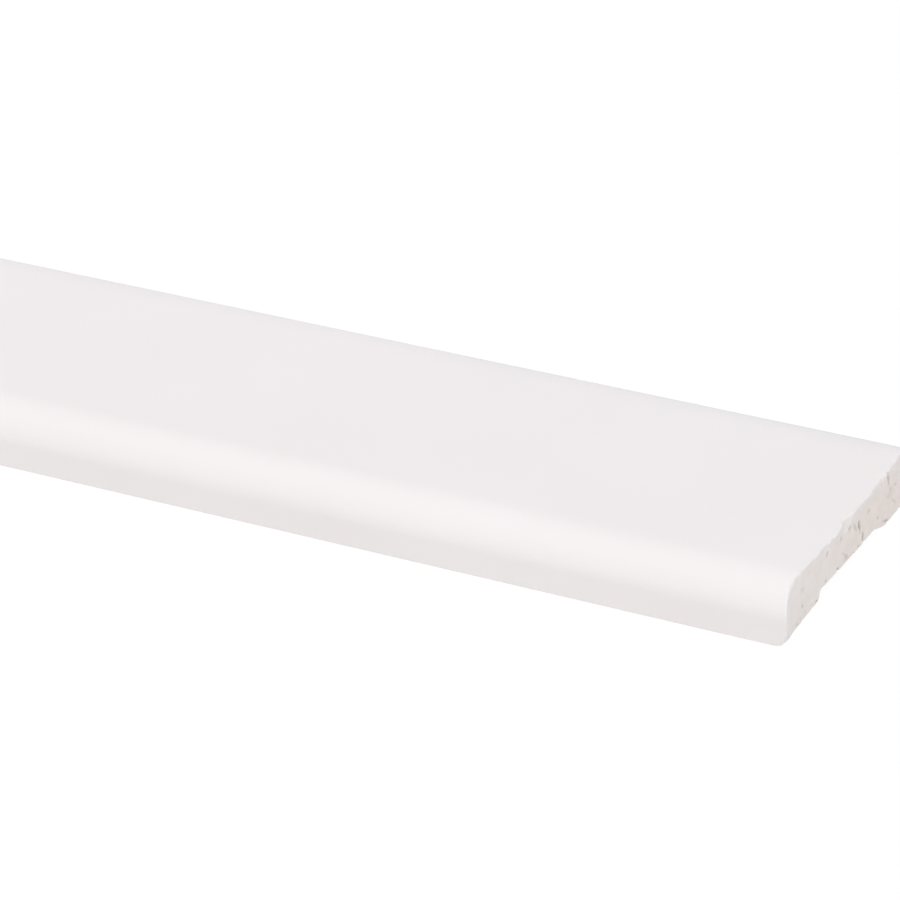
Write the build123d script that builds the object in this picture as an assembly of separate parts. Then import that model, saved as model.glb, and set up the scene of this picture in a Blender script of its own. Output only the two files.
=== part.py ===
from build123d import *
import os

# Flat cover strip: one length of moulded trim, lying on its back.
# X runs along the strip, Y from the rounded front edge to the square back edge, Z up.
# The origin is under the middle of the strip, on the plane that its two feet stand on.

# Driving dimensions, in millimetres
LENGTH = 2400.0
WIDTH = 68.0
THICKNESS = 12.0
# The front edge is rounded over by a quarter of an ellipse, wider across the face than down the edge
ROUND_ACROSS = 10.0
ROUND_DOWN = 6.8
# The back of the face only falls away a little, over a wide shallow quarter of an ellipse
BACK_EASE_ACROSS = 6.5
BACK_EASE_DOWN = 1.2
# A shallow relief along the back leaves two feet, so that the strip bridges an uneven wall
FRONT_FOOT = 18.5
BACK_FOOT = 13.7
RELIEF_DEPTH = 2.0
# Width taken by each sloping wall of the relief
RELIEF_FRONT_SLOPE = 2.0
RELIEF_BACK_SLOPE = 6.0

# Places on the section
front = -WIDTH / 2
back = WIDTH / 2
round_spring = THICKNESS - ROUND_DOWN
round_crown = front + ROUND_ACROSS
ease_crown = back - BACK_EASE_ACROSS
ease_foot = THICKNESS - BACK_EASE_DOWN
relief_front = front + FRONT_FOOT
relief_back = back - BACK_FOOT

with BuildPart() as cover_strip:
    # The section, looking along the strip, drawn once round from the front foot's outer corner
    with BuildSketch(Plane.YZ) as section:
        with BuildLine() as outline:
            Line((front, 0), (front, round_spring))
            EllipticalCenterArc(
                (round_crown, round_spring), ROUND_ACROSS, ROUND_DOWN, start_angle=90, arc_size=90
            )
            Line((round_crown, THICKNESS), (ease_crown, THICKNESS))
            EllipticalCenterArc(
                (ease_crown, ease_foot), BACK_EASE_ACROSS, BACK_EASE_DOWN, start_angle=0, arc_size=90
            )
            Polyline(
                (back, ease_foot),
                (back, 0),
                (relief_back, 0),
                (relief_back - RELIEF_BACK_SLOPE, RELIEF_DEPTH),
                (relief_front + RELIEF_FRONT_SLOPE, RELIEF_DEPTH),
                (relief_front, 0),
                (front, 0),
            )
        make_face()
    # The moulding runs the same from end to end, and both ends are sawn square
    extrude(amount=LENGTH / 2, both=True)

os.makedirs("parts", exist_ok=True)
export_step(cover_strip.part, "parts/cover_strip.step")
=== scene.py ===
import math

import bpy
import numpy as np
from mathutils import Matrix, Vector


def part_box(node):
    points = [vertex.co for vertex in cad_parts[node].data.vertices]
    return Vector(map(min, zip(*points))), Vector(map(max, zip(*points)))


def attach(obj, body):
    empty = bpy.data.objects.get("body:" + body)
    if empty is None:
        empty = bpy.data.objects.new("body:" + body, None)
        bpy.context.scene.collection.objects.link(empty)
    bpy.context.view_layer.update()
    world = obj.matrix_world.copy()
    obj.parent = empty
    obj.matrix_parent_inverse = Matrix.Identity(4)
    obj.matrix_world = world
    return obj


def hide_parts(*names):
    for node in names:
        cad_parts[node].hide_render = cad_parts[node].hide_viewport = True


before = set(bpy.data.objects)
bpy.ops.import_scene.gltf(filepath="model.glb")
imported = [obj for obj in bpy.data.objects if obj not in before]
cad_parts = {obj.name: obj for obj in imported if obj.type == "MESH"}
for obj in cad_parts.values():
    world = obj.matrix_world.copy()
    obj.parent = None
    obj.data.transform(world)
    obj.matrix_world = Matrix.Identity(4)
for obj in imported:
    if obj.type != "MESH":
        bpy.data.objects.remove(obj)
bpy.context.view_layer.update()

MM = 0.001

# The strip's section, as in the solid
strip_low, strip_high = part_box("cover_strip")
FRONT = strip_low.y
BACK = strip_high.y
THICKNESS = strip_high.z
HALF_LENGTH = strip_high.x
ROUND_ACROSS = 10.0 * MM
ROUND_DOWN = 6.8 * MM
BACK_EASE_ACROSS = 6.5 * MM
BACK_EASE_DOWN = 1.2 * MM
FRONT_FOOT = 18.5 * MM
BACK_FOOT = 13.7 * MM
RELIEF_DEPTH = 2.0 * MM
RELIEF_FRONT_SLOPE = 2.0 * MM
RELIEF_BACK_SLOPE = 6.0 * MM

# Steps of the surface: round the two edges, along the straight stretches, and up the section
ROUND_STEPS = 44
EASE_STEPS = 36
STEP_ACROSS = 0.17 * MM
STEPS_UP = 72
# Steps up crowd towards the face, by this power
STEPS_CROWD = 1.5
# Rings along the strip crowd towards its ends
RING_NEAREST = 0.2 * MM
RINGS_PER_HALF = 16
# How quickly a cut's unevenness, the wear of its foot and its dulled edge with its painted shade die away
# along the strip
CUT_FADE = 4.0 * MM
WEAR_FADE = 1.2 * MM
EDGE_FADE = 0.7 * MM
# Painted shade along the back arris near the ends: how far it reaches across the face, down the edge and
# along
ARRIS_ACROSS = 2.6 * MM
ARRIS_DOWN = 1.0 * MM
ARRIS_ALONG = 80.0 * MM
# Faces that meet at more than this angle are shaded with a crease
CREASE_ANGLE = math.radians(40)

# The map that finishes are baked through, and the heights on it of the two sawn ends and of the long walls
BAKE_MAP = "OFBake"
MAP_MARGIN = 0.01
NEAR_CHART = (0.75, 1.0)
FAR_CHART = (0.5, 0.75)
WALL_CHART = (0.0, 0.5)

# A sawn end lies a little inside the stock's full length, and wanders about that plane, in millimetres
CUT_BACK = 1.3
# It runs from the line along its foot to the line along its top by this power of the share of height
CUT_POWER = 3
# The least distance of a cut inside the stock's full length, in millimetres
LEAST_BACK = 0.02
# The arris between a face and a sawn end is rolled over, in millimetres: how far back, and how wide on the
# face and on the front edge
ROLL_BACK = 0.45
ROLL_FACE = 0.5
ROLL_FRONT = 2.0
# Depth of a torn place that looks fully dark, and height of fibres that look fully pale, in millimetres
FULL_TEAR = 0.32
FULL_PALE = 0.2
# Each pair is a place back from the front edge and how far the cut stands out there, in millimetres
NEAR_TOP_OF_CUT = (
    (0, 1.15), (1.2, 0.68), (2.4, 0.28), (4.5, -0.02), (8, -0.12), (8.6, 0.20), (9.6, 0.12), (14.6, 0.30),
    (15.8, 0.58), (18.5, 0.44), (19.6, 0.30), (21.2, 0.50), (22.4, 0.88), (23.8, 0.54), (25.4, 1.0),
    (28, 0.64), (35, 0.56), (39, 0.32), (41.5, 0.38), (44.8, 0.74), (46.2, 0.28), (48, 0.20), (55.7, 0.20),
    (58, -0.06), (60, -0.06), (64.5, -0.58), (68, -0.63),
)
NEAR_FOOT_OF_CUT = (
    (0, 1.35), (1, 0.50), (2, 0.20), (5, -0.02), (12, -0.2), (20, -0.36), (26, -0.17), (31, 0.0), (38, 0.12),
    (41, 0.22), (44, 0.08), (48, 0.2), (54, 0.1), (68, 0.0),
)
# Wear of the ends' front lower corners, in millimetres: how high, and how wide across
CORNER_WEAR = 0.25
CORNER_WEAR_WIDTH = 2.2
# The cut's foot stands above the back by a lip of this height and spread, in millimetres
LIP = 0.12
LIP_SPREAD = 0.07
# The saw leaves a burr in the corner of the relief's front wall, in millimetres: its place across and half
# width, and how far it hangs down and stands out
BURR_PLACE = 19.3
BURR_WIDTH = 1.2
BURR_HANG = 0.85
BURR_OUT = 0.22
# Saw lines across the cut, in millimetres: depth, pitch, how they lean and how they wander
SAW_LINE_DEPTH = 0.01
SAW_LINE_PITCH = 1.3
SAW_LINE_LEAN = 0.36
SAW_LINE_WANDER = 1.5
# Roughness of the cut, coarse and fine, and how far the outlines of its marks wander, in millimetres
COARSE_ROUGH = 0.04
FINE_ROUGH = 0.02
RAGGED = 0.16
# Cells of the random fields on a sawn end, across and up: the fewer they are, the slower a field changes
LIP_CELLS = (90, 2)
SAW_LINE_CELLS = (12, 4)
COARSE_CELLS = (110, 20)
FINE_CELLS = (260, 48)
RAGGED_CELLS = (130, 24)
BARE_CELLS = (40, 8)
# A field's places stop this far short of its count of cells, so that each has a cell on both sides
SHORT_OF_CELLS = 1.001
# Bare wood comes in over these distances from the front edge, from the face and above the foot, in
# millimetres, unevenly by this share, and by this share for each millimetre that an edge is broken back
BARE_FROM_FRONT = 12.0
BARE_FROM_FACE = 2.5
BARE_FROM_FOOT = 0.4
BARE_UNEVEN = 0.3
BARE_CHIP = 0.5
# Smeared coat makes a pale zone along the front edge: its share, how far in it lies and its width, in
# millimetres
SMEAR_SHARE = 0.4
SMEAR_IN = 2.3
SMEAR_WIDTH = 1.3
# A broken edge takes, as painted shade, this share of a torn place's dark colour, where it is broken back
# this far
CHIP_SHADE = 0.07
FULL_CHIP = 0.5
# Torn places in the near end, dark partly from the wood's own colour and partly from painted shade in the
# pits;
# the broad shallow one 12 mm across and 2.8 mm up is painted shade towards the foot. In millimetres and
# degrees:
# place across, place up, half length, half width, depth, lean from upright
NEAR_TEARS = (
    (55.5, 10.0, 1.95, 0.44, 0.24, 24), (57.5, 6.5, 0.90, 0.42, 0.16, 10), (60.0, 6.8, 0.90, 0.42, 0.13, 66),
    (55.9, 5.9, 1.20, 0.42, 0.11, 66), (44.7, 7.9, 0.65, 0.42, 0.18, 50), (50.5, 3.8, 0.50, 0.32, 0.25, 66),
    (34.0, 9.1, 0.80, 0.40, 0.28, 66), (37.5, 7.7, 1.70, 0.42, 0.16, 40), (39.8, 6.8, 1.75, 0.60, 0.34, 22),
    (42.1, 3.5, 1.10, 0.60, 0.34, 25), (42.4, 2.4, 0.50, 0.30, 0.20, 60), (22.6, 9.2, 0.75, 0.46, 0.36, 10),
    (29.7, 8.9, 0.80, 0.50, 0.15, 40), (10.9, 3.4, 0.70, 0.38, 0.20, 60), (10.5, 7.1, 1.00, 0.60, 0.08, 60),
    (19.1, 0.20, 0.75, 0.45, 0.27, 45), (29.1, 2.40, 0.70, 0.42, 0.30, 55), (55.6, 0.6, 1.00, 0.40, 0.25, 66),
    (54.2, 1.2, 0.90, 0.32, 0.14, 66), (39.7, 2.45, 0.60, 0.32, 0.22, 66), (23.3, 2.7, 0.50, 0.32, 0.16, 55),
    (12.8, 1.1, 0.50, 0.30, 0.15, 55), (10.0, 1.2, 0.45, 0.28, 0.13, 55), (33.2, 3.6, 2.60, 0.22, 0.12, 54),
    (33.6, 3.0, 0.90, 0.40, 0.16, 66), (32.4, 2.9, 0.50, 0.32, 0.13, 66), (59.3, 3.4, 1.80, 0.26, 0.11, 51),
    (8.3, 0.6, 0.45, 0.28, 0.16, 55), (0.1, 0.45, 0.50, 0.40, 0.32, 45), (57.6, 6.0, 2.80, 1.40, 0.05, 66),
    (55.5, 6.5, 7.5, 4.5, 0.015, 66), (35.5, 6.0, 4.5, 3.0, 0.01, 66), (12.0, 2.8, 4.5, 1.9, 0.014, 90),
    (61.0, 8.5, 0.55, 0.22, 0.14, 10), (36.1, 2.4, 2.20, 0.20, 0.09, 90), (51.4, 10.4, 0.55, 0.20, 0.10, 24),
    (53.0, 9.5, 0.60, 0.20, 0.10, 24), (52.6, 11.0, 0.60, 0.20, 0.10, 24),
)
# Pale places in the near end, where fibres stand up, given in the same way with their height for a depth
NEAR_PALE = (
    (53.9, 11.5, 1.0, 0.26, 0.08, 20), (52.1, 11.6, 0.9, 0.26, 0.07, 20), (52.7, 10.0, 0.9, 0.3, 0.1, 20),
    (57.8, 8.8, 0.80, 0.40, 0.08, 30), (36.1, 7.6, 0.50, 0.30, 0.07, 66), (16.3, 1.85, 0.45, 0.32, 0.20, 20),
    (28.4, 9.6, 0.90, 0.32, 0.07, 15), (39.2, 6.2, 0.90, 0.32, 0.07, 30), (22.4, 10.2, 0.40, 0.30, 0.18, 10),
    (42.3, 6.8, 0.90, 0.42, 0.06, 22), (32.8, 10.4, 3.20, 1.40, 0.03, 90),
)
# Broken edges of the two cuts, in millimetres: place across, half width, drop, how far it is broken back
NEAR_TOP_CHIPS = ((32.0, 3.4, 2.6, 1.0), (52.2, 1.8, 0.9, 0.5))
NEAR_FOOT_CHIPS = ((0.0, 2.6, 2.4, 0.75),)
FAR_TOP_CHIPS = ((20.0, 2.0, 0.9, 0.6), (47.0, 1.5, 0.7, 0.4))
FAR_FOOT_CHIPS = ((8.0, 3.0, 0.8, 0.4), (60.0, 2.5, 0.6, 0.3))
# The far cut's two lines: the distance between their points and how far they wander, in millimetres
FAR_POINT_STEP = 4.0
FAR_TOP_SPREAD = 0.4
FAR_FOOT_SPREAD = 0.3
# The far cut's counts of torn and pale places, and the ranges of their six values, as in the near end
FAR_TEARS = 26
FAR_PALE = 9
FAR_MARK_RANGES = ((2, 66), (1, 11), (0.3, 1.6), (0.18, 0.4), (0.06, 0.32), (0, 45))

# The camera, in the photograph's frame: where the near end's front lower corner shows, and how it is seen
IMAGE_SIDE = 900
SENSOR_WIDTH = 36.0
FOCAL_PIXELS = 4038.7
VIEW_AZIMUTH = math.radians(26.099)
VIEW_ELEVATION = math.radians(26.740)
CORNER_PIXEL = (781.20, 647.52)
CORNER_DEPTH = 0.7588

# The room's light, and three broad soft lamps: name, direction towards it, strength and colour
ROOM_COLOUR = (0.984, 1.0, 0.987, 1.0)
ROOM_STRENGTH = 0.517
LAMPS = (
    ("overhead_lamp", (-0.35, 0.2425, 0.9048), 0.42, (0.90, 0.94, 1.0)),
    ("upper_front_lamp", (0.28, -0.2485, 0.9273), 0.925, (0.986, 1.0, 1.0)),
    ("low_front_lamp", (0.28, -0.8314, 0.4800), 0.69, (0.983, 1.0, 0.943)),
)
LAMP_BREADTH = math.radians(50)
# The floor, just under the feet: its reach, level and colour, and what is seen of it, white and shadowed
FLOOR_REACH = 40.0
FLOOR_LEVEL = -0.05 * MM
FLOOR_COLOUR = (0.85, 0.85, 0.85, 1.0)
FLOOR_SEEN_WHITE = 0.95
FLOOR_SEEN_COLOUR = (0.07, 0.07, 0.07, 1.0)
WHITE = (1.0, 1.0, 1.0, 1.0)

# Colours, in linear light
COAT_COLOUR = (0.865, 0.814, 0.827, 1.0)
COAT_SHADE = (0.850, 0.798, 0.810, 1.0)
BACK_COLOUR = (0.80, 0.77, 0.74, 1.0)
BACK_SHADE = (0.74, 0.70, 0.66, 1.0)
# The dulled coat at a cut: partly its own duller colour, partly painted shade on the rolled arris
DULL_EDGE_AND_SHADE_COLOUR = (0.846, 0.800, 0.811, 1.0)
# Painted shade along the back arris near the ends
ARRIS_SHADE_COLOUR = (0.764, 0.754, 0.764, 1.0)
RIM_COLOUR = (0.892, 0.848, 0.850, 1.0)
FRONT_BARE_COLOUR = (0.914, 0.845, 0.832, 1.0)
FRONT_BARE_SHADE = (0.884, 0.811, 0.795, 1.0)
BACK_BARE_COLOUR = (0.908, 0.828, 0.805, 1.0)
BACK_BARE_SHADE = (0.864, 0.781, 0.750, 1.0)
PALE_COLOUR = (0.970, 0.940, 0.915, 1.0)
# Torn places: the raw wood's darker colour and painted shade in the pits
TORN_WOOD_AND_PIT_SHADE_COLOUR = (0.490, 0.436, 0.402, 1.0)
# The bare wood's front is paler up to here, and its back darker from there
PALER_TO = 26 * MM
DARKER_FROM = 38 * MM
# Shares of bare wood at which the cut's rim has its full colour, and the cut its full roughness
FULL_RIM = 0.4
FULL_ROUGH = 0.3

# Roughness of the finishes, and how far a coat's wanders either way
COAT_ROUGHNESS = 0.42
BACK_ROUGHNESS = 0.7
BARE_ROUGHNESS = 0.8
ROUGHNESS_SPREAD = 0.04
# Relief of the finishes: how strong it shows, how high it is, and the share of grain in a coat's skin
COAT_BUMP = 0.12
BACK_BUMP = 0.6
SKIN_HEIGHT = 0.05 * MM
COAT_GRAIN = 0.35
BACK_GRAIN = 0.6
FIBRE_BUMP = 0.3
FIBRE_HEIGHT = 0.06 * MM
# Scales of the patterns, in waves to the metre, and how the grain is drawn out along the strip
PEEL_SCALE = 700.0
GRAIN_SCALE = 900.0
GRAIN_DRAWN_OUT = (0.03, 1.0, 1.0)
COAT_BLOTCH_SCALE = 25.0
BARE_BLOTCH_SCALE = 400.0
FIBRE_SCALE = 3000.0
# A blotch goes from all shade to all colour between these values of its noise
BLOTCH_SHADED = 0.35
BLOTCH_CLEAR = 0.65

# Places of the finishes among the strip's materials
COATED, PRIMED, SAWN = 0, 1, 2
# Sockets of the Mix node, for colours and for numbers
MIX_FACTOR, MIX_A, MIX_B, MIX_RESULT = 0, 6, 7, 2
MIX_NUMBER_A, MIX_NUMBER_B, MIX_NUMBER_RESULT = 2, 3, 0

rng = np.random.default_rng(33)


def places_across():
    """Places across the strip from front to back: even steps of angle round the two edges, and about
    even steps of width between the corners of the section."""
    round_swing = np.linspace(0, np.pi / 2, ROUND_STEPS + 1)
    ease_swing = np.linspace(0, np.pi / 2, EASE_STEPS + 1)
    corners = (
        FRONT + ROUND_ACROSS,
        FRONT + FRONT_FOOT,
        FRONT + FRONT_FOOT + RELIEF_FRONT_SLOPE,
        BACK - BACK_FOOT - RELIEF_BACK_SLOPE,
        BACK - BACK_FOOT,
        BACK - BACK_EASE_ACROSS,
    )
    runs = [FRONT + ROUND_ACROSS * (1 - np.cos(round_swing))]
    for start, end in zip(corners[:-1], corners[1:]):
        steps = math.ceil((end - start) / STEP_ACROSS)
        runs.append(np.linspace(start, end, steps + 1)[1:])
    runs.append(BACK - BACK_EASE_ACROSS + BACK_EASE_ACROSS * np.sin(ease_swing)[1:])
    return np.concatenate(runs)


def shares_up():
    """Shares of the height from foot to face: one less a power of even steps down from the face."""
    return 1 - (1 - np.linspace(0, 1, STEPS_UP + 1)[None, :]) ** STEPS_CROWD


def face_height(across):
    """Height of the face: a quarter ellipse over the front edge, a level run, a shallow one at the back."""
    from_crown = np.clip((FRONT + ROUND_ACROSS - across) / ROUND_ACROSS, 0, 1)
    from_ease = np.clip((across - BACK + BACK_EASE_ACROSS) / BACK_EASE_ACROSS, 0, 1)
    rounding = ROUND_DOWN * (1 - np.sqrt(1 - from_crown**2))
    easing = BACK_EASE_DOWN * (1 - np.sqrt(1 - from_ease**2))
    return THICKNESS - rounding - easing


def back_height(across):
    """Height of the back: level feet at both edges, and a relief between straight sloping walls."""
    front_wall = (across - FRONT - FRONT_FOOT) / RELIEF_FRONT_SLOPE
    back_wall = (BACK - BACK_FOOT - across) / RELIEF_BACK_SLOPE
    return RELIEF_DEPTH * np.clip(np.minimum(front_wall, back_wall), 0, 1)


def smooth_step(part):
    """The smooth step from 0 to 1: three times the square less twice the cube."""
    return part * part * (3 - 2 * part)


def uneven(shape, cells):
    """A smooth random field on a grid, from -1 to 1: random values at a few cells, blended between them by
    the smooth step of the place within each cell."""
    field = rng.uniform(-1, 1, cells)
    for axis in (0, 1):
        place = np.linspace(0, cells[axis] - SHORT_OF_CELLS, shape[axis])
        cell = place.astype(int)
        blend = smooth_step(place - cell)
        blend = blend[:, None] if axis == 0 else blend[None, :]
        field = np.take(field, cell, axis) * (1 - blend) + np.take(field, cell + 1, axis) * blend
    return field


def bowl_field(across, up, places, full):
    """Depth and share of a set of long bowls on the end: each one's depth times e to the minus fourth power
    of the distance from its middle, counted in half lengths along its lean and in half widths across it."""
    depth = np.zeros_like(up)
    share = np.zeros_like(up)
    for place, height, half_length, half_width, deep, lean in places:
        along_y = math.sin(math.radians(lean))
        along_z = -math.cos(math.radians(lean))
        off_y = across - place
        off_z = up - height
        along = (off_y * along_y + off_z * along_z) / half_length
        sideways = (off_y * along_z - off_z * along_y) / half_width
        bowl = np.exp(-((along**2 + sideways**2) ** 2))
        depth = np.maximum(depth, deep * bowl)
        share = np.maximum(share, bowl * min(1.0, deep / full))
    return depth, share


def chip_field(across, from_edge, chips):
    """How far an edge of the cut is broken back: a smooth step up and down along the edge, times a slope
    that runs out away from it."""
    depth = np.zeros_like(from_edge)
    for place, half_width, drop, broken in chips:
        peak = smooth_step(np.clip(1 - np.abs(across - place) / half_width, 0, 1))
        slope = np.clip(1 - from_edge / drop, 0, 1)
        depth = np.maximum(depth, broken * peak * slope)
    return depth


def random_marks(count):
    """Torn or pale places for the end that isn't seen: each of their six values is spread evenly over its
    range."""
    return np.stack([rng.uniform(low, high, count) for low, high in FAR_MARK_RANGES], 1)


def random_cut_line(spread):
    """A wandering line for a cut: points at even steps across, with random offsets up to the spread."""
    places = np.arange(0, (BACK - FRONT) / MM + FAR_POINT_STEP / 2, FAR_POINT_STEP)
    return np.stack([places, rng.uniform(-spread, spread, len(places))], 1)


def in_from_edge(outward, upward, wide, deep):
    """Distance in from a rounded edge, and the share of face in its direction: one less the distance from
    the edge's centre, counted in its half widths, times the half width that way."""
    faceness = np.arctan2(upward, outward) / (np.pi / 2)
    return (1 - np.hypot(outward, upward)) * (wide + (deep - wide) * faceness), faceness


def from_outline(from_front, up):
    """Distance in from the section's front, face and back, in millimetres, and the share of face in it: the
    least of the distances in from its two rounded edges."""
    wide, deep = ROUND_ACROSS / MM, ROUND_DOWN / MM
    ease_wide, ease_deep = BACK_EASE_ACROSS / MM, BACK_EASE_DOWN / MM
    from_back = (BACK - FRONT) / MM - from_front
    below_crown = THICKNESS / MM - up
    ahead = np.clip(1 - from_front / wide, 0, 1)
    behind = np.clip(1 - from_back / ease_wide, 0, 1)
    above_round = np.clip(1 - below_crown / deep, 0, 1)
    above_ease = np.clip(1 - below_crown / ease_deep, 0, 1)
    from_front_edge, faceness = in_from_edge(ahead, above_round, wide, deep)
    from_back_edge, _ = in_from_edge(behind, above_ease, ease_wide, ease_deep)
    inward = np.clip(np.minimum(from_front_edge, from_back_edge), 0, None)
    return inward, np.where(ahead > 0, faceness, 1)


def sawn_end(across, top_of_cut, foot_of_cut, tears, pale, top_chips, foot_chips):
    """One sawn end on the grid of places across the strip and shares of the height there.
    The cut runs from one wandering line to another by a power of the share, and is rolled over along its
    arris by a quarter ellipse. Fine saw lines, torn places and chips are taken out of it, and pale fibres
    stand out. A burr, which runs out to each side in a straight line, hangs from its foot and stands out,
    less by e to the minus height above the foot. Returns the grid's places across and up, its distance back
    from the end of the stock, and the shares of torn places with their painted pit shade, of pale and of
    bare wood."""
    share = shares_up()
    shape = (len(across), STEPS_UP + 1)
    from_front = (across - FRONT)[:, None] / MM
    worn = CORNER_WEAR * np.exp(-((from_front / CORNER_WEAR_WIDTH) ** 2))
    lip = LIP + LIP_SPREAD * uneven((len(across), 2), LIP_CELLS)[:, :1] + worn
    burr = np.clip(1 - np.abs(from_front - BURR_PLACE) / BURR_WIDTH, 0, 1)
    top = face_height(across)[:, None] / MM
    foot = np.clip(back_height(across)[:, None] / MM - BURR_HANG * burr, 0, None) + lip
    up = foot + (top - foot) * share
    inward, faceness = from_outline(from_front, up)

    top_line = np.interp(from_front[:, 0], *np.transpose(top_of_cut))[:, None]
    foot_line = np.interp(from_front[:, 0], *np.transpose(foot_of_cut))[:, None]
    burr_out = BURR_OUT * burr * np.exp((foot - up) / BURR_HANG)
    wander = foot_line + (top_line - foot_line) * share**CUT_POWER + burr_out
    roll_width = ROLL_FRONT + (ROLL_FACE - ROLL_FRONT) * faceness
    roll = ROLL_BACK * (1 - np.sqrt(1 - np.clip(1 - inward / roll_width, 0, 1) ** 2))
    swing = 2 * np.pi * (from_front + SAW_LINE_LEAN * up) / SAW_LINE_PITCH
    swing = swing + SAW_LINE_WANDER * uneven(shape, SAW_LINE_CELLS)
    saw_lines = SAW_LINE_DEPTH * np.sin(swing)
    rough = COARSE_ROUGH * uneven(shape, COARSE_CELLS) + FINE_ROUGH * uneven(shape, FINE_CELLS)
    ragged_place = from_front + RAGGED * uneven(shape, RAGGED_CELLS)
    ragged_up = up + RAGGED * uneven(shape, RAGGED_CELLS)
    # Torn places: their share darkens the wood, partly as painted shade in the pits
    tear_depth, torn = bowl_field(ragged_place, ragged_up, tears, FULL_TEAR)
    fibre_height, fresh = bowl_field(ragged_place, ragged_up, pale, FULL_PALE)
    top_broken = chip_field(from_front, top - up, top_chips)
    foot_broken = chip_field(from_front, up - foot, foot_chips)
    broken = top_broken + foot_broken
    back = CUT_BACK - wander + roll + saw_lines + rough + tear_depth - fibre_height + broken
    back = np.maximum(back, LEAST_BACK) * MM

    # Broken edges take a share of the torn colour as painted shade
    torn = np.maximum(torn, CHIP_SHADE * np.clip(broken / FULL_CHIP, 0, 1))
    smear = np.exp(-(((inward - SMEAR_IN) / SMEAR_WIDTH) ** 2))
    fresh = np.maximum(fresh, SMEAR_SHARE * (1 - faceness) * smear)
    bare_width = BARE_FROM_FRONT + (BARE_FROM_FACE - BARE_FROM_FRONT) * faceness
    inside = np.minimum(inward / bare_width, (up - foot) / BARE_FROM_FOOT)
    bare_change = BARE_UNEVEN * uneven(shape, BARE_CELLS) * (inside > BARE_UNEVEN)
    bare = np.clip(inside + bare_change + BARE_CHIP * broken, 0, 1)
    place = np.broadcast_to(across[:, None], shape)
    return place, up * MM, back, {"torn": torn, "pale": fresh, "bare": bare}


def rim_of_grid(columns, rows):
    """Indices of a grid's rim, once round: along the foot to the back, up, along the top to the front,
    down."""
    index = np.arange(columns * rows).reshape(columns, rows)
    return np.concatenate([index[:-1, 0], index[-1, :-1], index[:0:-1, -1], index[0, :0:-1]])


def quads_of_grid(index):
    """The four corners of every square of a grid of indices, in order round the square."""
    return np.stack([index[:-1, :-1], index[1:, :-1], index[1:, 1:], index[:-1, 1:]], -1).reshape(-1, 4)


def half_of_rings(end_up, end_back, section_z, offsets):
    """Distances out from the strip's middle and heights of the rings from a sawn end inwards: the end's
    distance back and the wear of its foot die away by e to the minus distance along the strip."""
    out = HALF_LENGTH - offsets - end_back * np.exp(-offsets / CUT_FADE)
    up = section_z + (end_up - section_z) * np.exp(-offsets / WEAR_FADE)
    return out, up


def both_halves(near_half, far_half):
    """Rows of rings in order from the near end to the far one, with the middle one once."""
    return np.concatenate([near_half, far_half[-2::-1]])


def finish_shares(near_shares, far_shares, section_y, section_z, offsets):
    """Each corner's shares of finish. Torn places with their painted pit shade, pale and bare wood are the
    ends' own.
    The dulled edge, partly painted shade on the rolled arris, dies away from the ends by e to the minus
    distance, and the painted shade along the back arris by e to the minus its square, times e to the minus
    distance from the back arris, across the face and down the back edge."""
    ring_count = 2 * RINGS_PER_HALF - 1
    plain = np.zeros(ring_count * len(section_y))
    shares = {}
    for label, near_share in near_shares.items():
        shares[label] = np.concatenate([near_share.ravel(), far_shares[label].ravel(), plain])
    on_ends = np.zeros(2 * near_shares["bare"].size)
    # The worn share is the dulled edge, partly painted shade on the rolled arris
    worn = np.exp(-offsets / EDGE_FADE) * np.ones(len(section_y))
    # Painted shade along the back arris
    below_arris = np.clip(THICKNESS - BACK_EASE_DOWN - section_z, 0, None)
    at_arris = np.exp((section_y - BACK) / ARRIS_ACROSS - below_arris / ARRIS_DOWN)
    thin = np.exp(-((offsets / ARRIS_ALONG) ** 2)) * at_arris
    shares["worn"] = np.concatenate([on_ends + 1, both_halves(worn, worn).ravel()])
    shares["thin"] = np.concatenate([on_ends, both_halves(thin, thin).ravel()])
    return shares


def chart_of_grid(wide, high, span):
    """Map places of every square of a grid: one share laid over the map's width and one over a span of its
    height, inside a margin."""
    low, top = span
    sheet_x = MAP_MARGIN + (1 - 2 * MAP_MARGIN) * wide
    sheet_y = low + MAP_MARGIN + (top - low - 2 * MAP_MARGIN) * high
    sheet = np.stack(np.broadcast_arrays(sheet_x, sheet_y), -1)
    index = np.arange(sheet[..., 0].size).reshape(sheet.shape[:2])
    return sheet.reshape(-1, 2)[quads_of_grid(index)]


def map_places(across, near_up, far_up, section_y, section_z, offsets):
    """Map places of all faces: the two ends as they are seen, and the walls unrolled. Round the section they
    go by length, and along the strip by the mean of length and even steps, so that the rings near the ends
    have room."""
    wide = (across - FRONT)[:, None] / (BACK - FRONT)
    sides = np.hypot(np.diff(section_y, append=section_y[0]), np.diff(section_z, append=section_z[0]))
    around = np.concatenate([[0], np.cumsum(sides)])
    from_end = np.concatenate([[0], offsets[:, 0]]) / (2 * HALF_LENGTH)
    by_length = both_halves(from_end, 1 - from_end)
    along = (by_length + np.linspace(0, 1, len(by_length))) / 2
    return np.concatenate(
        [
            chart_of_grid(wide, near_up / THICKNESS, NEAR_CHART),
            chart_of_grid(wide, far_up / THICKNESS, FAR_CHART)[:, ::-1],
            chart_of_grid(along[:, None], around / around[-1], WALL_CHART),
        ]
    )


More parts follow.
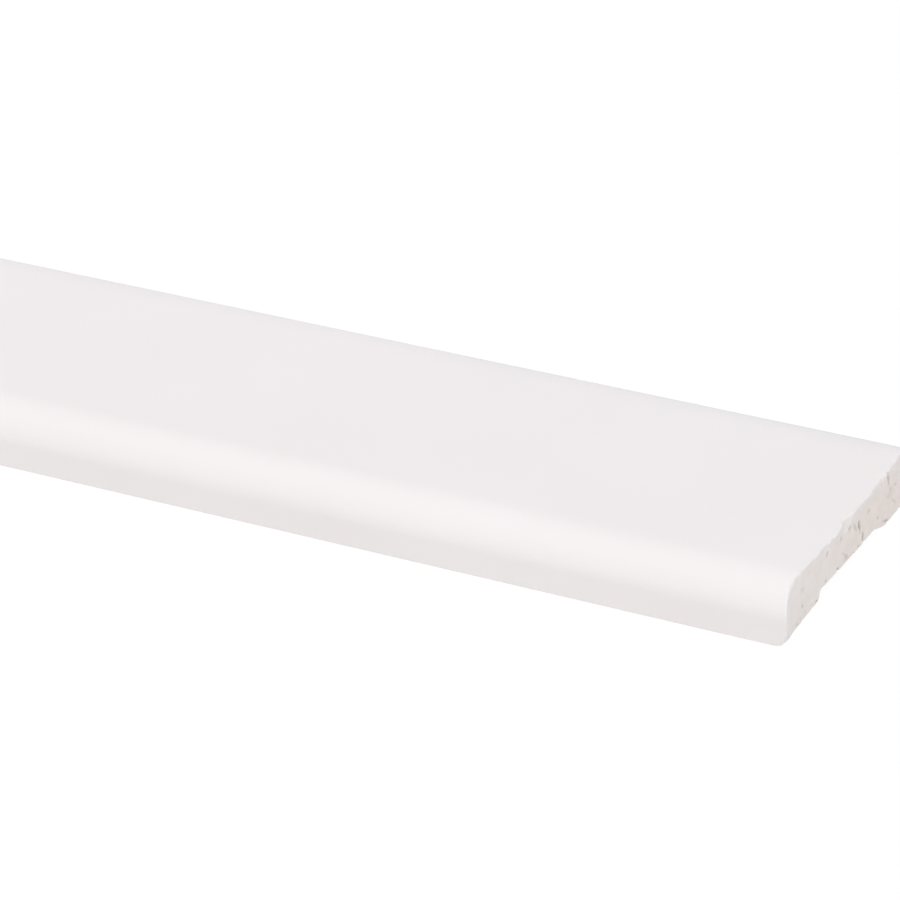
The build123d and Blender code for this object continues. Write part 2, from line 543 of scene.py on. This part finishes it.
def build_strip():
    """The whole strip as one closed surface: the section's rim carried along the strip by rings, and a sawn
    end on a grid at each end, which share their rims with the first and last ring. Returns its corners, its
    faces, the faces' finishes and map places, and the corners' shares of finish."""
    across = places_across()
    near_place, near_up, near_back, near_shares = sawn_end(
        across, NEAR_TOP_OF_CUT, NEAR_FOOT_OF_CUT, NEAR_TEARS, NEAR_PALE, NEAR_TOP_CHIPS, NEAR_FOOT_CHIPS
    )
    far_place, far_up, far_back, far_shares = sawn_end(
        across,
        random_cut_line(FAR_TOP_SPREAD),
        random_cut_line(FAR_FOOT_SPREAD),
        random_marks(FAR_TEARS),
        random_marks(FAR_PALE),
        FAR_TOP_CHIPS,
        FAR_FOOT_CHIPS,
    )
    columns, rows = near_up.shape
    rim = rim_of_grid(columns, rows)

    share = shares_up()
    heights = back_height(across)[:, None] * (1 - share) + face_height(across)[:, None] * share
    section_y = near_place.ravel()[rim]
    section_z = heights.ravel()[rim]
    offsets = np.geomspace(RING_NEAREST, HALF_LENGTH, RINGS_PER_HALF)[:, None]
    near_out, near_z = half_of_rings(near_up.ravel()[rim], near_back.ravel()[rim], section_z, offsets)
    far_out, far_z = half_of_rings(far_up.ravel()[rim], far_back.ravel()[rim], section_z, offsets)
    ring_x = both_halves(near_out, -far_out)
    ring_z = both_halves(near_z, far_z)
    rings = np.stack(np.broadcast_arrays(ring_x, section_y, ring_z), -1).reshape(-1, 3)
    near_end = np.stack([HALF_LENGTH - near_back, near_place, near_up], -1).reshape(-1, 3)
    far_end = np.stack([far_back - HALF_LENGTH, far_place, far_up], -1).reshape(-1, 3)
    corners = np.concatenate([near_end, far_end, rings])

    near_index = np.arange(columns * rows).reshape(columns, rows)
    far_index = near_index + near_index.size
    ring_index = 2 * near_index.size + np.arange(ring_x.size).reshape(ring_x.shape)
    tube = np.concatenate([rim[None, :], ring_index, near_index.size + rim[None, :]])
    tube = np.concatenate([tube, tube[:, :1]], 1)
    near_faces = quads_of_grid(near_index)
    far_faces = quads_of_grid(far_index)[:, ::-1]
    faces = np.concatenate([near_faces, far_faces, quads_of_grid(tube)])

    on_back = np.tile(np.arange(len(rim)) < columns - 1, len(tube) - 1)
    sawn = np.full(len(near_faces) + len(far_faces), SAWN)
    finish = np.concatenate([sawn, np.where(on_back, PRIMED, COATED)])
    charts = map_places(across, near_up, far_up, section_y, section_z, offsets)
    shares = finish_shares(near_shares, far_shares, section_y, section_z, offsets)
    return corners, faces, finish, charts, shares


def mesh_object(name, corners, faces, attributes):
    """A mesh object from arrays of corners and of four-cornered faces, with one number a corner for each
    attribute."""
    mesh = bpy.data.meshes.new(name)
    mesh.vertices.add(len(corners))
    mesh.vertices.foreach_set("co", corners.astype(np.float32).ravel())
    mesh.loops.add(faces.size)
    mesh.loops.foreach_set("vertex_index", faces.astype(np.int32).ravel())
    mesh.polygons.add(len(faces))
    mesh.polygons.foreach_set("loop_start", np.arange(0, faces.size, faces.shape[1], dtype=np.int32))
    mesh.update(calc_edges=True)
    for label, values in attributes.items():
        attribute = mesh.attributes.new(label, "FLOAT", "POINT")
        attribute.data.foreach_set("value", values.astype(np.float32))
    made = bpy.data.objects.new(name, mesh)
    bpy.context.scene.collection.objects.link(made)
    return made


def add_node(tree, kind, inputs=None, **settings):
    """A node with its settings, and inputs given as values or as the sockets that feed them."""
    made = tree.nodes.new(kind)
    for name, value in settings.items():
        setattr(made, name, value)
    for name, value in (inputs or {}).items():
        if isinstance(value, bpy.types.NodeSocket):
            tree.links.new(value, made.inputs[name])
        else:
            made.inputs[name].default_value = value
    return made


def surface_share(tree, label):
    """The socket of a share that the surface carries."""
    return add_node(tree, "ShaderNodeAttribute", attribute_name=label).outputs["Fac"]


def lay_over(tree, share, under, over):
    """The socket of one colour laid over another by a share."""
    mixed = add_node(tree, "ShaderNodeMix", {MIX_FACTOR: share, MIX_A: under, MIX_B: over}, data_type="RGBA")
    return mixed.outputs[MIX_RESULT]


def empty_tree(owner):
    """The node tree of a material or a world, with nothing in it."""
    owner.use_nodes = True
    owner.node_tree.nodes.clear()
    return owner.node_tree


def new_group(name, takes, gives):
    """An empty node group with named sockets. Returns the group, its input node and its output node."""
    group = bpy.data.node_groups.new(name, "ShaderNodeTree")
    for label, kind in takes:
        group.interface.new_socket(label, in_out="INPUT", socket_type=kind)
    for label, kind in gives:
        group.interface.new_socket(label, in_out="OUTPUT", socket_type=kind)
    return group, group.nodes.new("NodeGroupInput"), group.nodes.new("NodeGroupOutput")


def brushed_skin_group():
    """Relief of a brushed or sprayed skin over wood: fine orange peel, and grain lines drawn out along the
    strip."""
    group, given, out = new_group(
        "brushed_skin",
        (
            ("Place", "NodeSocketVector"),
            ("Peel Scale", "NodeSocketFloat"),
            ("Grain Share", "NodeSocketFloat"),
        ),
        (("Height", "NodeSocketFloat"), ("Streak", "NodeSocketFloat")),
    )
    place = given.outputs["Place"]
    peel = add_node(
        group,
        "ShaderNodeTexNoise",
        {"Vector": place, "Scale": given.outputs["Peel Scale"], "Detail": 2.0, "Roughness": 0.5},
    )
    drawn = add_node(group, "ShaderNodeVectorMath", {0: place, 1: GRAIN_DRAWN_OUT}, operation="MULTIPLY")
    grain = add_node(
        group,
        "ShaderNodeTexNoise",
        {"Vector": drawn.outputs[0], "Scale": GRAIN_SCALE, "Detail": 3.0, "Roughness": 0.6},
    )
    height = add_node(
        group,
        "ShaderNodeMix",
        {
            MIX_FACTOR: given.outputs["Grain Share"],
            MIX_NUMBER_A: peel.outputs[0],
            MIX_NUMBER_B: grain.outputs[0],
        },
        data_type="FLOAT",
    )
    group.links.new(height.outputs[MIX_NUMBER_RESULT], out.inputs["Height"])
    group.links.new(grain.outputs[0], out.inputs["Streak"])
    return group


def blotch_group():
    """Slow change of colour over a surface: a soft noise blends a shade into a colour."""
    group, given, out = new_group(
        "blotches",
        (
            ("Place", "NodeSocketVector"),
            ("Scale", "NodeSocketFloat"),
            ("Colour", "NodeSocketColor"),
            ("Shade", "NodeSocketColor"),
        ),
        (("Colour", "NodeSocketColor"),),
    )
    noise = add_node(
        group,
        "ShaderNodeTexNoise",
        {"Vector": given.outputs["Place"], "Scale": given.outputs["Scale"], "Detail": 4.0, "Roughness": 0.55},
    )
    steep = add_node(
        group,
        "ShaderNodeMapRange",
        {"Value": noise.outputs[0], "From Min": BLOTCH_SHADED, "From Max": BLOTCH_CLEAR},
    )
    colour = lay_over(group, steep.outputs[0], given.outputs["Shade"], given.outputs["Colour"])
    group.links.new(colour, out.inputs["Colour"])
    return group


def dulled_edge_and_shade_group():
    """Painted shade along the back arris, and then a dulled edge's colour that is partly painted shade on the
    rolled arris, which come in by the shares that the surface carries."""
    group, given, out = new_group(
        "dulled_edge_and_shade",
        (
            ("Colour", "NodeSocketColor"),
            ("Arris Shade Colour", "NodeSocketColor"),
            ("Dull Edge And Shade Colour", "NodeSocketColor"),
        ),
        (("Colour", "NodeSocketColor"),),
    )
    # Painted shade along the back arris
    thinned = lay_over(
        group, surface_share(group, "thin"), given.outputs["Colour"], given.outputs["Arris Shade Colour"]
    )
    # The worn share: a dulled edge, partly painted shade on the rolled arris
    edged = lay_over(group, surface_share(group, "worn"), thinned, given.outputs["Dull Edge And Shade Colour"])
    group.links.new(edged, out.inputs["Colour"])
    return group


def new_material(name):
    """A material with a Principled shader on its output. Returns the material, its tree and the shader."""
    material = bpy.data.materials.new(name)
    tree = empty_tree(material)
    shader = tree.nodes.new("ShaderNodeBsdfPrincipled")
    output = tree.nodes.new("ShaderNodeOutputMaterial")
    tree.links.new(shader.outputs[0], output.inputs["Surface"])
    return material, tree, shader


def painted_finish(name, groups, colour, shade, dull_edge_and_shade_colour, roughness, bump, grain_share):
    """A coat of white paint: blotches of colour a hair apart, duller at the cuts partly as painted shade,
    painted shade along the back arris, and the brushed skin as relief."""
    skin, blotches, dulled_edge_and_shade = groups
    material, tree, shader = new_material(name)
    place = add_node(tree, "ShaderNodeTexCoord").outputs["Object"]
    relief = add_node(
        tree,
        "ShaderNodeGroup",
        {"Place": place, "Peel Scale": PEEL_SCALE, "Grain Share": grain_share},
        node_tree=skin,
    )
    tint = add_node(
        tree,
        "ShaderNodeGroup",
        {"Place": place, "Scale": COAT_BLOTCH_SCALE, "Colour": colour, "Shade": shade},
        node_tree=blotches,
    )
    edged = add_node(
        tree,
        "ShaderNodeGroup",
        {"Colour": tint.outputs["Colour"], "Arris Shade Colour": ARRIS_SHADE_COLOUR, "Dull Edge And Shade Colour": dull_edge_and_shade_colour},
        node_tree=dulled_edge_and_shade,
    )
    gloss = add_node(
        tree,
        "ShaderNodeMapRange",
        {
            "Value": relief.outputs["Streak"],
            "To Min": roughness - ROUGHNESS_SPREAD,
            "To Max": roughness + ROUGHNESS_SPREAD,
        },
    )
    height = add_node(
        tree,
        "ShaderNodeBump",
        {"Height": relief.outputs["Height"], "Strength": bump, "Distance": SKIN_HEIGHT},
    )
    tree.links.new(edged.outputs["Colour"], shader.inputs["Base Color"])
    tree.links.new(gloss.outputs[0], shader.inputs["Roughness"])
    tree.links.new(height.outputs[0], shader.inputs["Normal"])
    return material


def sawn_finish(name, blotches):
    """A sawn end of pale wood: a dulled coat colour, partly painted shade, at its rim, bare wood inside,
    paler where fibres stand up and darker in the torn places, partly as painted shade in the pits."""
    material, tree, shader = new_material(name)
    place = add_node(tree, "ShaderNodeTexCoord").outputs["Object"]
    bare = surface_share(tree, "bare")
    across = add_node(tree, "ShaderNodeSeparateXYZ", {0: place}).outputs["Y"]
    backness = add_node(
        tree,
        "ShaderNodeMapRange",
        {"Value": across, "From Min": FRONT + PALER_TO, "From Max": FRONT + DARKER_FROM},
    ).outputs[0]
    tint = add_node(
        tree,
        "ShaderNodeGroup",
        {
            "Place": place,
            "Scale": BARE_BLOTCH_SCALE,
            "Colour": lay_over(tree, backness, FRONT_BARE_COLOUR, BACK_BARE_COLOUR),
            "Shade": lay_over(tree, backness, FRONT_BARE_SHADE, BACK_BARE_SHADE),
        },
        node_tree=blotches,
    )
    # At the very rim a dulled coat colour, partly painted shade on the rolled arris, gives way to the rim's
    # colour
    rim = add_node(tree, "ShaderNodeMapRange", {"Value": bare, "From Max": FULL_RIM}).outputs[0]
    colour = lay_over(tree, rim, DULL_EDGE_AND_SHADE_COLOUR, RIM_COLOUR)
    colour = lay_over(tree, bare, colour, tint.outputs["Colour"])
    colour = lay_over(tree, surface_share(tree, "pale"), colour, PALE_COLOUR)
    # Torn places are darker, partly with painted shade in the pits
    colour = lay_over(tree, surface_share(tree, "torn"), colour, TORN_WOOD_AND_PIT_SHADE_COLOUR)
    fibre = add_node(
        tree,
        "ShaderNodeTexNoise",
        {"Vector": place, "Scale": FIBRE_SCALE, "Detail": 3.0, "Roughness": 0.6},
    )
    height = add_node(
        tree,
        "ShaderNodeBump",
        {"Height": fibre.outputs[0], "Strength": FIBRE_BUMP, "Distance": FIBRE_HEIGHT},
    )
    gloss = add_node(
        tree,
        "ShaderNodeMapRange",
        {"Value": bare, "From Max": FULL_ROUGH, "To Min": COAT_ROUGHNESS, "To Max": BARE_ROUGHNESS},
    )
    tree.links.new(colour, shader.inputs["Base Color"])
    tree.links.new(gloss.outputs[0], shader.inputs["Roughness"])
    tree.links.new(height.outputs[0], shader.inputs["Normal"])
    return material


def background_share(tree):
    """One for rays that see the background directly, in gloss or through glass, and none for light that is
    passed on."""
    path = add_node(tree, "ShaderNodeLightPath")
    direct = add_node(
        tree,
        "ShaderNodeMath",
        {0: path.outputs["Is Camera Ray"], 1: path.outputs["Is Glossy Ray"]},
        operation="MAXIMUM",
    )
    return add_node(
        tree,
        "ShaderNodeMath",
        {0: direct.outputs[0], 1: path.outputs["Is Transmission Ray"]},
        operation="MAXIMUM",
    ).outputs[0]


def mix_background(tree, plain, seen, output_kind):
    """Puts on a tree's output one shader for the light that is passed on, and one for what is seen."""
    share = background_share(tree)
    mixed = add_node(tree, "ShaderNodeMixShader", {0: share, 1: plain.outputs[0], 2: seen.outputs[0]})
    add_node(tree, output_kind, {"Surface": mixed.outputs[0]})


def make_floor():
    """A wide level floor just under the feet. Seen directly it is white, with a share of plain floor for the
    shadow."""
    side = np.array([-1, 1, 1, -1]) * FLOOR_REACH
    corners = np.stack([side, np.roll(side, 1), np.full(len(side), FLOOR_LEVEL)], 1)
    floor = mesh_object("floor", corners, np.arange(len(side))[None, :], {})
    material = bpy.data.materials.new("white_floor")
    tree = empty_tree(material)
    plain = add_node(tree, "ShaderNodeBsdfDiffuse", {"Color": FLOOR_COLOUR})
    shadowed = add_node(tree, "ShaderNodeBsdfDiffuse", {"Color": FLOOR_SEEN_COLOUR})
    white = add_node(tree, "ShaderNodeEmission", {"Color": WHITE, "Strength": FLOOR_SEEN_WHITE})
    seen = add_node(tree, "ShaderNodeAddShader", {0: white.outputs[0], 1: shadowed.outputs[0]})
    mix_background(tree, plain, seen, "ShaderNodeOutputMaterial")
    floor.data.materials.append(material)


def light_room():
    """An even white room, and three broad soft lamps: overhead, above in front, and low in front."""
    world = bpy.data.worlds.new("white_room")
    bpy.context.scene.world = world
    tree = empty_tree(world)
    light = add_node(tree, "ShaderNodeBackground", {"Color": ROOM_COLOUR, "Strength": ROOM_STRENGTH})
    seen = add_node(tree, "ShaderNodeBackground", {"Color": WHITE, "Strength": 1.0})
    mix_background(tree, light, seen, "ShaderNodeOutputWorld")
    for name, towards, strength, colour in LAMPS:
        lamp = bpy.data.lights.new(name, "SUN")
        lamp.energy = strength
        lamp.color = colour
        lamp.angle = LAMP_BREADTH
        holder = bpy.data.objects.new(name, lamp)
        holder.rotation_euler = Vector(towards).to_track_quat("Z", "Y").to_euler()
        bpy.context.scene.collection.objects.link(holder)


def place_camera():
    """The camera stands where the near end's corner falls on its pixel, at its depth, along the view's
    angles."""
    right = Vector((math.cos(VIEW_AZIMUTH), math.sin(VIEW_AZIMUTH), 0))
    level = Vector((math.sin(VIEW_AZIMUTH), -math.cos(VIEW_AZIMUTH), 0))
    towards = level * math.cos(VIEW_ELEVATION) + Vector((0, 0, math.sin(VIEW_ELEVATION)))
    up = towards.cross(right)
    corner = Vector((HALF_LENGTH - CUT_BACK * MM, FRONT, 0))
    aside = (CORNER_PIXEL[0] - IMAGE_SIDE / 2) / FOCAL_PIXELS * CORNER_DEPTH
    above = (IMAGE_SIDE / 2 - CORNER_PIXEL[1]) / FOCAL_PIXELS * CORNER_DEPTH
    lens = bpy.data.cameras.new("photo_view")
    lens.sensor_width = SENSOR_WIDTH
    lens.lens = FOCAL_PIXELS / IMAGE_SIDE * SENSOR_WIDTH
    camera = bpy.data.objects.new("photo_view", lens)
    camera.matrix_world = Matrix((right, up, towards)).transposed().to_4x4()
    camera.location = corner - right * aside - up * above + towards * CORNER_DEPTH
    bpy.context.scene.collection.objects.link(camera)
    bpy.context.scene.camera = camera


corners, faces, finish, charts, shares = build_strip()
strip = mesh_object("cover_strip_moulding", corners, faces, shares)
strip.data.uv_layers.new(name=BAKE_MAP).uv.foreach_set("vector", charts.astype(np.float32).ravel())
blotches = blotch_group()
groups = (brushed_skin_group(), blotches, dulled_edge_and_shade_group())
# In the order of COATED, PRIMED and SAWN
for material in (
    # The coat is duller at the cuts, partly as painted shade, and has painted shade along the back arris
    painted_finish(
        "white_satin_coat",
        groups,
        COAT_COLOUR,
        COAT_SHADE,
        DULL_EDGE_AND_SHADE_COLOUR,
        COAT_ROUGHNESS,
        COAT_BUMP,
        COAT_GRAIN,
    ),
    # The back is darker at the cuts, partly as painted shade on the arris
    painted_finish(
        "primed_back", groups, BACK_COLOUR, BACK_SHADE, BACK_SHADE, BACK_ROUGHNESS, BACK_BUMP, BACK_GRAIN
    ),
    sawn_finish("sawn_end", blotches),
):
    strip.data.materials.append(material)
strip.data.polygons.foreach_set("material_index", finish.astype(np.int32))
strip.data.shade_smooth()
strip.data.set_sharp_from_angle(angle=CREASE_ANGLE)
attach(strip, "root")
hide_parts("cover_strip")

make_floor()
light_room()
place_camera()
bpy.context.scene.view_settings.view_transform = "Standard"
